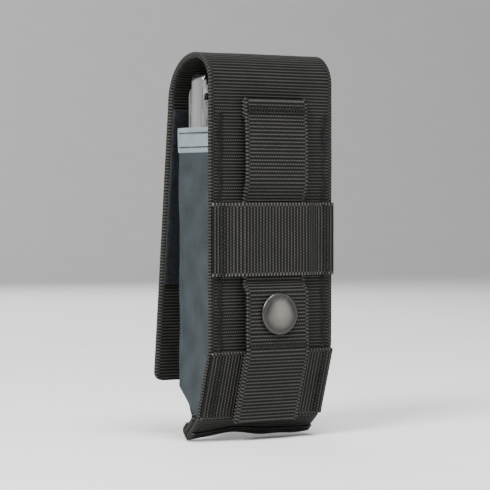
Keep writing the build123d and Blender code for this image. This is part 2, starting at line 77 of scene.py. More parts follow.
# ------------------------------------------------------------------ sizes shared with the frame
HALF = 25.4 * MM                 # half width of the wide webbing
WEB_T = 2.0 * MM
TAPE_HALF = 12.7 * MM
TAPE_T = 1.4 * MM
WIDE_RIB = 1.12 * MM             # weft pitch of the wide webbing
TAPE_RIB = 1.30 * MM             # weft pitch of the narrow webbing
BACK_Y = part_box("back_panel")[0][1]
FRONT_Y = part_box("front_panel")[1][1]
MOUTH_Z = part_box("front_panel")[1][2]
CROWN_AXIS = Vector((0, 4.0, 54.0)) * MM
FLAP_AXIS = Vector((0, 31.4, 47.6)) * MM
BEND = Vector((BACK_Y, -38.8 * MM))
HEEL = Vector((11.0, -63.8)) * MM
SEAM_END = Vector((18.6, -70.8)) * MM
FRONT_LOW = -52.0 * MM
FLAP_TILT = math.radians(6.0)
FLAP_LENGTH = 99.8 * MM
TAB_LENGTH = 26.0 * MM           # pull tab below its bar tack


# ------------------------------------------------------------------ shader helpers
class Value:
    """A shader socket that arithmetic can be written with; each step adds its Math node."""

    def __init__(self, shader, socket):
        self.shader = shader
        self.socket = socket

    def math(self, operation, *others):
        return self.shader.add("ShaderNodeMath", {"operation": operation}, [self, *others])

    def __add__(self, other): return self.math("ADD", other)
    def __sub__(self, other): return self.math("SUBTRACT", other)
    def __rsub__(self, other): return (self * -1.0) + other
    def __mul__(self, other): return self.math("MULTIPLY", other)
    def __truediv__(self, other): return self.math("DIVIDE", other)
    def __pow__(self, other): return self.math("POWER", other)
    def __gt__(self, other): return self.math("GREATER_THAN", other)
    def sin(self): return self.math("SINE")
    def abs(self): return self.math("ABSOLUTE")
    def clamp(self): return self.shader.add("ShaderNodeClamp", {}, [self])


class Shader:
    """One material's node tree, with one method that adds any node."""

    def __init__(self, name, **constants):
        self.material = bpy.data.materials.new(name)
        self.material.use_nodes = True
        self.tree = self.material.node_tree
        self.surface = self.tree.nodes["Principled BSDF"]
        for socket, value in constants.items():
            self.surface.inputs[socket.replace("_", " ")].default_value = value

    def add(self, kind, settings, inputs, output=0):
        node = self.tree.nodes.new(kind)
        for key, value in settings.items():
            if key == "stops":
                for index, (position, color) in enumerate(value):
                    elements = node.color_ramp.elements
                    stop = elements[index] if index < 2 else elements.new(position)
                    stop.position = position
                    stop.color = (*color, 1.0)
            else:
                setattr(node, key, value)
        pairs = inputs.items() if isinstance(inputs, dict) else enumerate(inputs)
        for key, value in pairs:
            if isinstance(value, Value):
                self.tree.links.new(value.socket, node.inputs[key])
            else:
                node.inputs[key].default_value = value
        return Value(self, node.outputs[output])

    def feed(self, socket, value):
        self.tree.links.new(value.socket, self.surface.inputs[socket])

    def coordinates(self, output):
        """UV gives millimetres across and along a tape; Object gives metres."""
        vector = self.add("ShaderNodeTexCoord", {}, [], output)
        split = self.tree.nodes.new("ShaderNodeSeparateXYZ")
        self.tree.links.new(vector.socket, split.inputs[0])
        return vector, [Value(self, socket) for socket in split.outputs]

    def noise(self, vector, scale, detail=2.0, rough=0.5):
        return self.add("ShaderNodeTexNoise", {}, {"Vector": vector, "Scale": scale,
                                                    "Detail": detail, "Roughness": rough})

    def ramp(self, factor, *stops):
        return self.add("ShaderNodeValToRGB", {"stops": stops}, {"Fac": factor})

    def blend(self, factor, first, second):
        node = self.tree.nodes.new("ShaderNodeMix")
        node.data_type = "RGBA"
        for key, value in ((0, factor), (6, first), (7, second)):
            if isinstance(value, Value):
                self.tree.links.new(value.socket, node.inputs[key])
            else:
                node.inputs[key].default_value = value if key == 0 else (*value, 1.0)
        return Value(self, node.outputs[2])

    def bump(self, height, distance, strength=1.0):
        normal = self.add("ShaderNodeBump", {}, {"Height": height, "Distance": distance,
                                                 "Strength": strength})
        self.feed("Normal", normal)


TURN = 2 * math.pi


def webbing(name, dark, light, rib, warp, half_mm, selvedge_mm=0.9):
    """Ribbed nylon webbing: weft ribs crossed by fine warp yarns, with beaded selvedges; the colour
    has painted highlight on the rib crests and painted shade in the gaps.
    """
    shader = Shader(name, Specular_IOR_Level=0.16)
    vector, (across, along, _) = shader.coordinates(2)
    edge = (across.abs() > half_mm - selvedge_mm)
    row = (along / rib).math("FLOOR")
    brick = across / warp + row * 0.5
    yarn = (brick * TURN).sin() * 0.5 + 0.5
    rib_wave = (along * (math.pi / rib)).sin().abs()
    bead = (along * (math.pi / rib)).math("COSINE").abs()
    # Narrow mask on the top of each rib: it shapes the bump, and it also paints highlight into the
    # colour.
    crest_height_and_highlight = rib_wave ** 3.0
    body = crest_height_and_highlight * (yarn * 0.4 + 0.6)
    relief = body * (1 - edge) + bead * bead * edge
    fibre = shader.noise(vector, 5.0, 3.0, 0.7)
    patch = shader.noise(vector, 0.12, 2.0)
    # Base colour: painted highlight on the rib crests and selvedge beads, near-black painted shade
    # in the gaps, plus random fibre and patch tone.
    tone = (relief * 0.92 + (fibre - 0.5) * 0.3 + (patch - 0.5) * 0.22).clamp()
    shader.feed("Base Color", shader.blend(tone * tone, dark, light))
    shader.feed("Roughness", fibre * 0.25 + 0.5)
    shader.bump(relief + fibre * 0.3, 0.2 * MM, 0.9)
    return shader.material


def twill(name, dark, light, pitch, slope):
    """Fine diagonal twill: raised slanting lines cut by a faint counter line."""
    shader = Shader(name, Specular_IOR_Level=0.2)
    vector, (across, along, _) = shader.coordinates(2)
    line = ((across * slope + along) * (TURN / pitch)).sin() * 0.5 + 0.5
    counter = ((across * -slope * 0.7 + along) * (TURN / (pitch * 1.3))).sin() * 0.5 + 0.5
    fibre = shader.noise(vector, 4.0, 3.0, 0.65)
    patch = shader.noise(vector, 0.11, 2.0)
    relief = line * line * 0.75 + counter * 0.25
    tone = (relief * 0.95 + (fibre - 0.5) * 0.3 + (patch - 0.5) * 0.7).clamp()
    shader.feed("Base Color", shader.blend(tone, dark, light))
    shader.feed("Roughness", fibre * 0.2 + 0.45)
    shader.bump(relief + fibre * 0.3, 0.14 * MM, 0.9)
    return shader.material


def pile(name, dark, light, scale):
    """Matted loop or hook pile."""
    shader = Shader(name, Roughness=0.7, Sheen_Weight=0.08, Specular_IOR_Level=0.2)
    vector, _ = shader.coordinates(3)
    curl = shader.noise(vector, scale, 6.0, 0.8)
    clump = shader.noise(vector, scale * 0.2, 2.0)
    shader.feed("Base Color", shader.ramp(curl * 0.7 + clump * 0.3, (0.42, dark), (0.68, light)))
    shader.bump(curl + clump * 0.5, 0.4 * MM)
    return shader.material


def sewing_thread(name, dark, light):
    """Bonded nylon thread, with the twist of its plies."""
    shader = Shader(name, Specular_IOR_Level=0.25)
    vector, (x, y, z) = shader.coordinates(3)
    ply = ((x + y + z * 1.4) * (TURN / (0.35 * MM))).sin() * 0.5 + 0.5
    fibre = shader.noise(vector, 2500.0, 2.0)
    shader.feed("Base Color", shader.blend(ply * 0.6 + fibre * 0.4, dark, light))
    shader.feed("Roughness", fibre * 0.2 + 0.45)
    shader.bump(ply, 0.05 * MM)
    return shader.material


def brushed_metal(name, color, deep, roughness, grain_axis, grain=900.0, bump=0.004):
    """Metal with a brushed grain along one axis and faint smudges."""
    shader = Shader(name, Metallic=1.0)
    vector, _ = shader.coordinates(3)
    scale = [grain, grain, grain]
    scale[grain_axis] = grain * 0.03
    stretched = shader.add("ShaderNodeMapping", {}, {"Vector": vector, "Scale": scale})
    lines = shader.noise(stretched, 1.0, 3.0, 0.6)
    smudge = shader.noise(vector, 130.0, 3.0, 0.55)
    pit = shader.noise(vector, 900.0, 2.0)
    tone = (lines * 0.5 + smudge * 0.5).clamp()
    shader.feed("Base Color", shader.blend(tone, deep, color))
    shader.feed("Roughness", (lines * 0.16 + smudge * 0.16 + (roughness - 0.16)).clamp())
    shader.bump(lines * 0.7 + pit * 0.3, bump * MM)
    return shader.material


def painted_cap(name):
    """Gunmetal snap cap: satin coating over brass, with a painted highlight on the dome's centre,
    painted shade towards the rim and a thin painted highlight on the rim's outer edge.
    """
    shader = Shader(name, Metallic=0.85, Coat_Weight=0.15, Coat_Roughness=0.3)
    vector, (x, _, z) = shader.coordinates(3)
    low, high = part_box("snap_cap")
    centre = [(a + b) / 2 for a, b in zip(low, high)]
    reach = ((x - centre[0]) ** 2.0 + (z - centre[2]) ** 2.0) ** 0.5 / ((high[0] - low[0]) / 2)
    mottle = shader.noise(vector, 420.0, 4.0, 0.6)
    speck = shader.noise(vector, 1900.0, 2.0)
    # Colour ramp by distance from the centre: painted highlight in the middle, painted shade towards
    # the rim, a thin painted highlight at the rim's edge, broken up by random mottle.
    painted_highlight_and_shade = shader.ramp(reach + (mottle - 0.5) * 0.16, (0.0, (0.15, 0.143, 0.128)),
                        (0.55, (0.1, 0.095, 0.087)), (0.84, (0.022, 0.021, 0.02)),
                        (0.97, (0.06, 0.058, 0.054)))
    shader.feed("Base Color", painted_highlight_and_shade)
    shader.feed("Roughness", mottle * 0.2 + speck * 0.1 + 0.2)
    shader.bump(mottle * 0.5 + speck * 0.5, 0.02 * MM)
    return shader.material


def plaster(name, color):
    shader = Shader(name, Roughness=0.8)
    vector, _ = shader.coordinates(3)
    shader.feed("Base Color", shader.ramp(shader.noise(vector, 30.0), (0.3, color),
                                          (0.7, tuple(c * 1.03 for c in color))))
    return shader.material


# The near-black colour below is painted shade in the rib gaps; the webbings' light colours are
# painted highlight on the rib crests.
NYLON_GAP_SHADE = (0.0012, 0.0012, 0.0012)
WIDE_CLOTH = webbing("wide_webbing", NYLON_GAP_SHADE, (0.06, 0.058, 0.051), WIDE_RIB / MM, 0.95,
                     HALF / MM)
TAPE_CLOTH = webbing("narrow_webbing", NYLON_GAP_SHADE, (0.075, 0.072, 0.064), TAPE_RIB / MM, 1.05,
                     TAPE_HALF / MM)
ELASTIC = twill("elastic_twill", (0.003, 0.004, 0.005), (0.06, 0.079, 0.088), 1.0, -1.1)
BINDING = twill("satin_binding", (0.09, 0.115, 0.125), (0.34, 0.41, 0.44), 0.9, -0.8)
LOOP_PILE = pile("loop_pile", (0.001, 0.0015, 0.002), (0.012, 0.018, 0.027), 900.0)
HOOK_PILE = pile("hook_pile", (0.003, 0.003, 0.003), (0.03, 0.03, 0.03), 1300.0)
THREAD = sewing_thread("black_thread", (0.002, 0.002, 0.002), (0.02, 0.0195, 0.018))
HANDLE_STEEL = brushed_metal("handle_steel", (0.83, 0.83, 0.82), (0.6, 0.6, 0.6), 0.24, 2)
BLADE_STEEL = brushed_metal("blade_steel", (0.8, 0.8, 0.8), (0.55, 0.55, 0.56), 0.18, 2)
PIN_STEEL = brushed_metal("pin_steel", (0.7, 0.7, 0.7), (0.4, 0.4, 0.41), 0.2, 1)
DARK_STEEL = brushed_metal("dark_steel", (0.2, 0.2, 0.2), (0.1, 0.1, 0.1), 0.35, 2)
CAP_METAL = painted_cap("gunmetal_cap")


# ------------------------------------------------------------------ tapes
class Route:
    """A centre line in its own plane: straight runs with rounded corners, read by distance."""

    def __init__(self, points, radii):
        self.points = [Vector(points[0])]
        for before, corner, after, radius in zip(points, points[1:], points[2:], radii):
            self.round_corner(Vector(before), Vector(corner), Vector(after), radius)
        self.points.append(Vector(points[-1]))
        self.marks = [0.0]
        for a, b in zip(self.points, self.points[1:]):
            self.marks.append(self.marks[-1] + (b - a).length)
        self.length = self.marks[-1]

    def round_corner(self, before, corner, after, radius):
        arriving = (corner - before).normalized()
        leaving = (after - corner).normalized()
        turn = arriving.angle_signed(leaving)
        reach = radius * math.tan(abs(turn) / 2)
        start = corner - arriving * reach
        side = Vector((arriving.y, -arriving.x)) if turn > 0 else Vector((-arriving.y, arriving.x))
        centre = start + side * radius
        steps = max(2, int(abs(turn) / math.radians(3)))
        for step in range(steps + 1):
            spoke = start - centre
            spoke.rotate(Matrix.Rotation(-turn * step / steps, 2))
            self.points.append(centre + spoke)

    def at(self, distance):
        index = min(max(bisect.bisect_right(self.marks, distance) - 1, 0), len(self.marks) - 2)
        a, b = self.points[index], self.points[index + 1]
        run = self.marks[index + 1] - self.marks[index]
        tangent = (b - a).normalized() if run > 1e-9 else Vector((0, 1))
        return a + tangent * (distance - self.marks[index]), tangent


IN_YZ = Matrix(((0, 0, 1, 0), (1, 0, 0, 0), (0, 1, 0, 0), (0, 0, 0, 1)))


class Tape:
    """A route in a plane, with places across, along and above it in space."""

    def __init__(self, points, radii, plane=IN_YZ, flip=1.0, warp=None):
        self.route = Route(points, radii)
        self.plane = plane
        self.flip = flip          # which side of the route is the face
        self.warp = warp          # moves each finished place

    def place(self, across, along, height):
        point, tangent = self.route.at(along)
        lifted = point + Vector((-tangent.y, tangent.x)) * height * self.flip
        place = self.plane @ Vector((lifted.x, lifted.y, across))
        return self.warp(place) if self.warp else place


def finish_piece(name, bm, body, material):
    """Turn a bmesh into a piece that rides on a body and wears a material."""
    mesh = bpy.data.meshes.new(name)
    for face in bm.faces:
        face.smooth = True
    bm.to_mesh(mesh)
    bm.free()
    piece = bpy.data.objects.new(name, mesh)
    bpy.context.scene.collection.objects.link(piece)
    mesh.materials.append(material)
    if body:
        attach(piece, body)
    return piece


def ribs(pitch, height):
    """Relief of weft ribs along a tape: round backs with narrow gaps."""
    def relief(along):
        return height * (abs(math.sin(math.pi * along / pitch)) ** 0.55 - 1.0)
    return relief


def ripple(place, size, scale):
    """Slow unevenness of sewn cloth."""
    return size * noise.noise(place * scale)


def weave(name, tape, start, end, span, thick, relief, body, material,
          row=0.16 * MM, columns=24, uneven=0.12 * MM, edge_flat=2.0 * MM, wave=None):
    """A woven strip: a grid rolled into a flat tube round the tape's centre line.

    span(along) gives its two edges across; wave(across, along) moves its face up or down.
    """
    rounding = 4
    ring = 2 * (columns + rounding)
    rows = max(4, int((end - start) / row))
    bm = bmesh.new()
    bmesh.ops.create_grid(bm, x_segments=ring, y_segments=rows, size=0.5)
    flat = bm.loops.layers.uv.new("tape")
    spots = {}
    for vert in bm.verts:
        index = round((vert.co.x + 0.5) * ring)
        along = start + (vert.co.y + 0.5) * (end - start)
        low, high = span(along)
        if index <= columns:
            across, side, depth = low + (high - low) * index / columns, 1.0, 1.0
        elif index <= columns + rounding:
            turn = math.pi * (index - columns) / rounding
            across, side, depth = high + math.sin(turn) * thick * 0.2, math.cos(turn), 0.0
        elif index <= 2 * columns + rounding:
            across = high + (low - high) * (index - columns - rounding) / columns
            side, depth = -1.0, 1.0
        else:
            turn = math.pi * (index - 2 * columns - rounding) / rounding
            across, side, depth = low - math.sin(turn) * thick * 0.2, -math.cos(turn), 0.0
        edge = min(1.0, max(0.0, min(across - low, high - across) / edge_flat)) * depth
        lift = relief(along) * (0.35 + 0.65 * edge)
        spots[vert] = (across, along)
        height = side * (thick / 2 + lift * 0.5 * depth)
        if wave:
            height += wave(across, along)
        base = tape.place(across, along, 0)
        height += ripple(base, uneven, 90.0)
        vert.co = tape.place(across, along, height)
    for face in bm.faces:
        for loop in face.loops:
            across, along = spots[loop.vert]
            loop[flat].uv = (across / MM, along / MM)
    bmesh.ops.remove_doubles(bm, verts=bm.verts, dist=0.002 * MM)
    rims = [edge for edge in bm.edges if edge.is_boundary]
    bmesh.ops.holes_fill(bm, edges=rims, sides=0)
    bmesh.ops.recalc_face_normals(bm, faces=bm.faces)
    return finish_piece(name, bm, body, material)


def strip(half):
    return lambda along: (-half, half)


def ease(value, start, end):
    """0 before start, 1 after end, smooth between them."""
    t = min(1.0, max(0.0, (value - start) / (end - start)))
    return t * t * (3 - 2 * t)


def puckered(place):
    """The bottom seam hangs at its left corner and is drawn up beside it."""
    free = ease(HEEL.y - place.z, 0.0, 6 * MM)
    rise = ease(place.x, -20.5 * MM, -9 * MM) * (1 - ease(place.x, -9 * MM, 24 * MM))
    return place + Vector((0, 0, free * (1.5 * rise - 0.1) * MM))


def thread(name, paths, radius, body, material, sides=0):
    """Thread laid along paths of points, as one piece."""
    curve = bpy.data.curves.new(name + "_line", "CURVE")
    curve.dimensions = "3D"
    curve.bevel_depth = radius
    curve.bevel_resolution = sides
    curve.use_fill_caps = True
    for path in paths:
        spline = curve.splines.new("POLY")
        spline.points.add(len(path) - 1)
        for point, place in zip(spline.points, path):
            point.co = (*place, 1.0)
    line = bpy.data.objects.new(name + "_line", curve)
    bpy.context.scene.collection.objects.link(line)
    mesh = bpy.data.meshes.new_from_object(line)
    bpy.data.objects.remove(line)
    bm = bmesh.new()
    bm.from_mesh(mesh)
    bpy.data.meshes.remove(mesh)
    return finish_piece(name, bm, body, material)


THREAD_R = 0.17 * MM


def zigzag(tape, face, middle, width, start, end, pitch, across_run=False):
    """Points of a close zigzag row on a tape's face; it runs along the tape, or across it."""
    path = []
    count = max(2, int(abs(end - start) / pitch))
    for step in range(count * 2 + 1):
        run = start + (end - start) * step / (count * 2)
        swing = (-0.5, 0.0, 0.5, 0.0)[step % 4] * width * random.uniform(0.93, 1.07)
        lift = 0.22 * MM if step % 2 else 0.02 * MM
        spot = (run, middle + swing) if across_run else (middle + swing, run)
        path.append(tape.place(*spot, face + lift))
    return path


def lockstitch(tape, face, spots, pitch=2.6 * MM):
    """Straight stitches along a line of (across, along) spots: short threads with gaps."""
    paths = []
    for (a0, s0), (a1, s1) in zip(spots, spots[1:]):
        length = math.hypot(a1 - a0, s1 - s0)
        count = max(1, int(length / pitch))
        for step in range(count):
            pieces = []
            for part, lift in ((0.04, -0.1), (0.2, 0.12), (0.5, 0.2), (0.8, 0.12), (0.96, -0.1)):
                t = (step + part) / count
                pieces.append(tape.place(a0 + (a1 - a0) * t, s0 + (s1 - s0) * t, face + lift * MM))
            paths.append(pieces)
    return paths


def softened(node, name, material, radius, segments=2):
    """A copy of one of the tool's CAD nodes with its edges rounded, shown in its place."""
    bm = bmesh.new()
    bm.from_mesh(frame["nodes"][node].data)
    bmesh.ops.remove_doubles(bm, verts=bm.verts, dist=0.002 * MM)
    bmesh.ops.dissolve_limit(bm, angle_limit=math.radians(1.0), verts=bm.verts, edges=bm.edges)
    sharp = [edge for edge in bm.edges
             if edge.is_manifold and edge.calc_face_angle(0.0) > math.radians(35)]
    bmesh.ops.bevel(bm, geom=sharp, offset=radius, offset_type="OFFSET", segments=segments,
                    affect="EDGES", profile=0.5, material=-1, clamp_overlap=True)
    piece = finish_piece(name, bm, "tool", material)
    piece.data.set_sharp_from_angle(angle=math.radians(32))
    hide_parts(node)
    return piece


# ------------------------------------------------------------------ the one long wide webbing
CROWN_TOP_Z = 65.0 * MM
flap_top = Vector((FLAP_AXIS.y, FLAP_AXIS.z))
hang = Vector((math.sin(FLAP_TILT), -math.cos(FLAP_TILT)))


def inward(points, distance):
    """Shift an open polyline to its right, keeping its corners mitred."""
    runs = [(Vector(b) - Vector(a)).normalized() for a, b in zip(points, points[1:])]
    sides = [Vector((run.y, -run.x)) for run in runs]
    sides = [sides[0]] + sides + [sides[-1]]
    shifted = []
    for point, before, after in zip(points, sides, sides[1:]):
        middle = before + after
        shifted.append(Vector(point) + middle * (2 * distance / middle.dot(middle)))
    return shifted


seam_line = inward([SEAM_END, HEEL, BEND, Vector((BACK_Y, CROWN_AXIS.z))], WEB_T / 2)
main_tape = Tape(seam_line[:-1] + [Vector((CROWN_AXIS.y, CROWN_TOP_Z)),
                                   Vector((FLAP_AXIS.y, CROWN_TOP_Z)),
                                   flap_top, flap_top + hang * FLAP_LENGTH],
                 [3 * MM, 14 * MM, 10 * MM, 16.8 * MM, 10 * MM], warp=puckered)


def along_at(tape, test):
    """The distance along a tape at which a test of its centre point first holds."""
    step = 0.2 * MM
    marks = (index * step for index in range(int(tape.route.length / step)))
    return next(mark for mark in marks if test(tape.route.at(mark)[0]))


crown_start = main_tape.route.length - FLAP_LENGTH - 57.0 * MM
apex = along_at(main_tape, lambda point: point.x >= 14 * MM and point.y > 60 * MM)
crown_end = main_tape.route.length - FLAP_LENGTH + 9.0 * MM
flap_corner = 3.0 * MM


def flap_span(along):
    """Full width, rounding off at the flap's two lower corners."""
    left = main_tape.route.length - along
    if left >= flap_corner:
        return (-HALF, HALF)
    inset = flap_corner - math.sqrt(max(0.0, flap_corner ** 2 - (flap_corner - left) ** 2))
    return (-HALF + inset, HALF - inset)


def hem_wave(across, along):
    """The free bottom seam waves a little."""
    free = max(0.0, 1.0 - along / (9 * MM))
    slow = 0.55 * math.sin(across / (6.5 * MM) + 0.6)
    quick = 0.25 * math.sin(across / (2.6 * MM))
    return free * (slow + quick) * MM


wide_ribs = ribs(WIDE_RIB, 0.32 * MM)
panel = weave("panel_webbing", main_tape, 0.4 * MM, crown_start, strip(HALF), WEB_T, wide_ribs,
              "sheath", WIDE_CLOTH, wave=hem_wave)
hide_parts("back_panel")
crown_back = weave("crown_webbing_back", main_tape, crown_start, apex, strip(HALF), WEB_T,
                   wide_ribs, None, WIDE_CLOTH)
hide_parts("flap_crown")
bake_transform(crown_back)
crown_front = weave("crown_webbing_front", main_tape, apex, crown_end, strip(HALF), WEB_T,
                    wide_ribs, None, WIDE_CLOTH)
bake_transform(crown_front)
flap = weave("flap_webbing", main_tape, crown_end, main_tape.route.length, flap_span, WEB_T,
             wide_ribs, "flap", WIDE_CLOTH)
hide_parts("flap_panel")

# ------------------------------------------------------------------ pocket front and bottom seam
seam_dir = (SEAM_END - HEEL).normalized()
seam_in = Vector((-seam_dir.y, seam_dir.x))
layer_middle = WEB_T * 1.5 + 0.05 * MM
front_tape = Tape([(FRONT_Y - WEB_T / 2, MOUTH_Z), (FRONT_Y - WEB_T / 2, FRONT_LOW),
                   HEEL + seam_dir * 2.2 * MM + seam_in * layer_middle,
                   SEAM_END + seam_in * layer_middle], [8 * MM, 1.6 * MM], warp=puckered)


def front_span(along):
    """Inside the sides' wrapped edges, drawn in a little lower down; full width at the seam."""
    place = front_tape.route.at(along)[0]
    inset = (1.2 + 1.3 * ease(-place.y, -20 * MM, 30 * MM)) * MM
    half = HALF - inset * ease(place.y, HEEL.y, FRONT_LOW)
    return (-half, half)


front = weave("pocket_front", front_tape, 0.0, front_tape.route.length, front_span, WEB_T,
              wide_ribs, "sheath", WIDE_CLOTH)
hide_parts("front_panel")

hem_out, hem_in, hem_up = -0.32 * MM, 2 * WEB_T + 0.4 * MM, 6.9 * MM
seam_length = (SEAM_END - HEEL).length


def seam_spot(along, inner):
    return HEEL + seam_dir * along + seam_in * inner


hem_tape = Tape([seam_spot(hem_up, hem_out), seam_spot(seam_length + 0.35 * MM, hem_out),
                 seam_spot(seam_length + 0.35 * MM, hem_in), seam_spot(hem_up, hem_in)],
                [1.2 * MM, 1.2 * MM], flip=-1.0, warp=puckered)
hem = weave("bottom_hem_tape", hem_tape, 0.0, hem_tape.route.length, strip(HALF + 0.3 * MM),
            0.6 * MM, ribs(0.9 * MM, 0.1 * MM), "sheath", WIDE_CLOTH,
            row=0.15 * MM, wave=lambda a, s: hem_wave(a, 0.0) * 0.8)
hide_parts("bottom_hem")

# ------------------------------------------------------------------ elastic sides and bindings
IN_XY = Matrix.Identity(4)
inner_back = BACK_Y + WEB_T
back_slope = (BEND.y - HEEL.y) / (HEEL.x - BEND.x)
tip = Vector((HEEL.x + 3.4 * MM, HEEL.y + 1.2 * MM))
front_slope = (FRONT_LOW - tip.y) / (FRONT_Y - tip.x)


def side_low(y):
    """Lower edge of a side: down the slant of the back, then up to the front panel."""
    if y < tip.x:
        return max(BEND.y - (y - inner_back) * back_slope, tip.y)
    return tip.y + (y - tip.x) * front_slope


for side, name in ((-1.0, "left"), (1.0, "right")):
    wrap_x = side * 24.9 * MM
    side_tape = Tape([(side * 23.9 * MM, inner_back), (side * 24.6 * MM, 10.0 * MM),
                      (wrap_x, 17.0 * MM), (wrap_x, FRONT_Y + 0.15 * MM),
                      (side * 21.0 * MM, FRONT_Y + 0.15 * MM)],
                     [20 * MM, 30 * MM, 0.9 * MM], IN_XY, flip=-side)
    length = side_tape.route.length

    def side_span(along):
        return (side_low(side_tape.route.at(along)[0].y), MOUTH_Z)

    def pinched(across, along):
        """The side is drawn in lower down and towards its bottom, where it ruckles a little."""
        place = side_tape.route.at(along)[0]
        low = max(0.0, 1.0 - (across - side_low(place.y)) / (14 * MM))
        taper = ease(-across, -20 * MM, 30 * MM) * ease(place.y, 8 * MM, 18 * MM)
        on_front = ease(place.y, FRONT_Y - 0.6 * MM, FRONT_Y)
        return (-1.3 * taper * (1 - on_front) * (1 - low) - 0.15 * low * low
                + 0.1 * low * math.sin(along / (1.4 * MM))) * MM

    gusset = weave(f"elastic_{name}", side_tape, 0.0, length, side_span, 0.8 * MM,
                   lambda along: 0.0, "sheath", ELASTIC, row=0.5 * MM, columns=90,
                   wave=pinched, uneven=0.35 * MM)
    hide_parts(f"gusset_{name}")
    binding = weave(f"binding_{name}", side_tape, 0.0, length,
                    lambda along: (MOUTH_Z - 8 * MM, MOUTH_Z + 0.35 * MM), 1.6 * MM,
                    lambda along: 0.0, "sheath", BINDING, row=0.25 * MM, columns=30,
                    uneven=0.35 * MM, edge_flat=0.8 * MM)
    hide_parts(f"gusset_binding_{name}")
    rows = []
    for drop in (1.3 * MM, 6.3 * MM):
        run = [(MOUTH_Z - drop, 0.6 * MM), (MOUTH_Z - drop, length - 5 * MM)]
        rows += lockstitch(side_tape, 0.8 * MM, run, 2.0 * MM)
    thread(f"binding_stitch_{name}", rows, 0.2 * MM, "sheath", THREAD, sides=1)

# ------------------------------------------------------------------ bands and straps on the back
tape_ribs = ribs(TAPE_RIB, 0.34 * MM)
seat_y = BACK_Y - 0.1 * MM - TAPE_T / 2
strap_tape = Tape([(seat_y, 43.2 * MM), (seat_y, 49.05 * MM), (seat_y - TAPE_T, 49.05 * MM),
                   (seat_y - TAPE_T, 43.0 * MM), (0.12 * MM, 37.0 * MM), (0.1 * MM, 20 * MM),
                   (seat_y, 14.2 * MM), (seat_y, -8.0 * MM)],
                  [0.69 * MM, 0.69 * MM, 4 * MM, 8 * MM, 8 * MM, 6 * MM], flip=-1.0)
strap = weave("upper_strap_tape", strap_tape, 0.0, strap_tape.route.length, strip(TAPE_HALF),
              TAPE_T, tape_ribs, "sheath", TAPE_CLOTH, columns=16,
              edge_flat=1.2 * MM)
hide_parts("upper_strap")

band_tape = Tape([(-HALF, seat_y), (-HALF + 7.5 * MM, seat_y), (-13.4 * MM, TAPE_T / 2),
                  (13.4 * MM, TAPE_T / 2), (HALF - 7.5 * MM, seat_y), (HALF, seat_y)],
                 [2.5 * MM] * 4, IN_XY, flip=-1.0)
band = weave("mid_band_tape", band_tape, 0.0, band_tape.route.length, strip(TAPE_HALF), TAPE_T,
             tape_ribs, "sheath", TAPE_CLOTH, columns=16, edge_flat=1.2 * MM)
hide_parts("mid_band")

slant = (HEEL - BEND).normalized()
out = Vector((slant.y, -slant.x))
band_seat = BEND + slant * 13.0 * MM
ON_SLANT = Matrix(((1, 0, 0, 0), (0, out.x, slant.x, band_seat.x),
                   (0, out.y, slant.y, band_seat.y), (0, 0, 0, 1)))
LOWER_BAND_HALF = 12.25 * MM
lower_tape = Tape([(-HALF, 0.75 * MM), (HALF, 0.75 * MM)], [], ON_SLANT)
lower = weave("lower_band_tape", lower_tape, 0.0, 2 * HALF, strip(LOWER_BAND_HALF),
              TAPE_T, tape_ribs, "sheath", TAPE_CLOTH, columns=16,
              edge_flat=1.2 * MM)
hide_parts("lower_band")

TAIL_Y = -0.3 * MM
tail_end = -33.4 * MM
tail_tape = Tape([(seat_y, -8.0 * MM), (seat_y, -15.7 * MM), (TAIL_Y, -18.8 * MM),
                  (TAIL_Y, tail_end)], [1.5 * MM, 3 * MM], flip=-1.0)
tail = weave("strap_tail_tape", tail_tape, 0.0, tail_tape.route.length, strip(TAPE_HALF), TAPE_T,
             tape_ribs, None, TAPE_CLOTH, columns=16, edge_flat=1.2 * MM)
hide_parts("strap_tail")
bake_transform(tail)


def on_slant(down, lift):
    return BEND + slant * down + out * lift


TAB_OUTER, TAB_INNER = 3.78 * MM, 2.36 * MM      # the folded tab's two layers, off the slant
tab_tape = Tape([(TAIL_Y, tail_end), on_slant(0, TAB_OUTER), on_slant(TAB_LENGTH, TAB_OUTER),
                 on_slant(TAB_LENGTH, TAB_INNER), on_slant(1.0 * MM, TAB_INNER)],
                [8 * MM, 0.7 * MM, 0.7 * MM], flip=-1.0)
tab = weave("pull_tab_tape", tab_tape, 0.0, tab_tape.route.length, strip(TAPE_HALF), TAPE_T,
            tape_ribs, None, TAPE_CLOTH, columns=16, edge_flat=1.2 * MM)
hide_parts("pull_tab")
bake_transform(tab)

# ------------------------------------------------------------------ hook and loop patches
patch_start = flap_top + hang * 1.2 * MM
patch_end = flap_top + hang * 64.5 * MM
under = Vector((-math.cos(FLAP_TILT), -math.sin(FLAP_TILT))) * (WEB_T / 2 + 0.5 * MM)
loop_tape = Tape([patch_start + under, patch_end + under], [], flip=-1.0)
loops = weave("loop_patch_pile", loop_tape, 0.0, loop_tape.route.length, strip(24.4 * MM),
              1.0 * MM, lambda along: 0.0, "flap", LOOP_PILE, row=0.5 * MM,
              columns=60, uneven=0.3 * MM)
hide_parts("loop_patch")
hook_low, hook_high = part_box("hook_patch")
hook_tape = Tape([(FRONT_Y + 0.4 * MM, hook_high[2]), (FRONT_Y + 0.4 * MM, hook_low[2])], [])
hooks = weave("hook_patch_tape", hook_tape, 0.0, hook_tape.route.length, strip(19 * MM),
              0.7 * MM, ribs(1.5 * MM, 0.05 * MM), "sheath", HOOK_PILE,
              row=0.3 * MM, columns=20)
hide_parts("hook_patch")


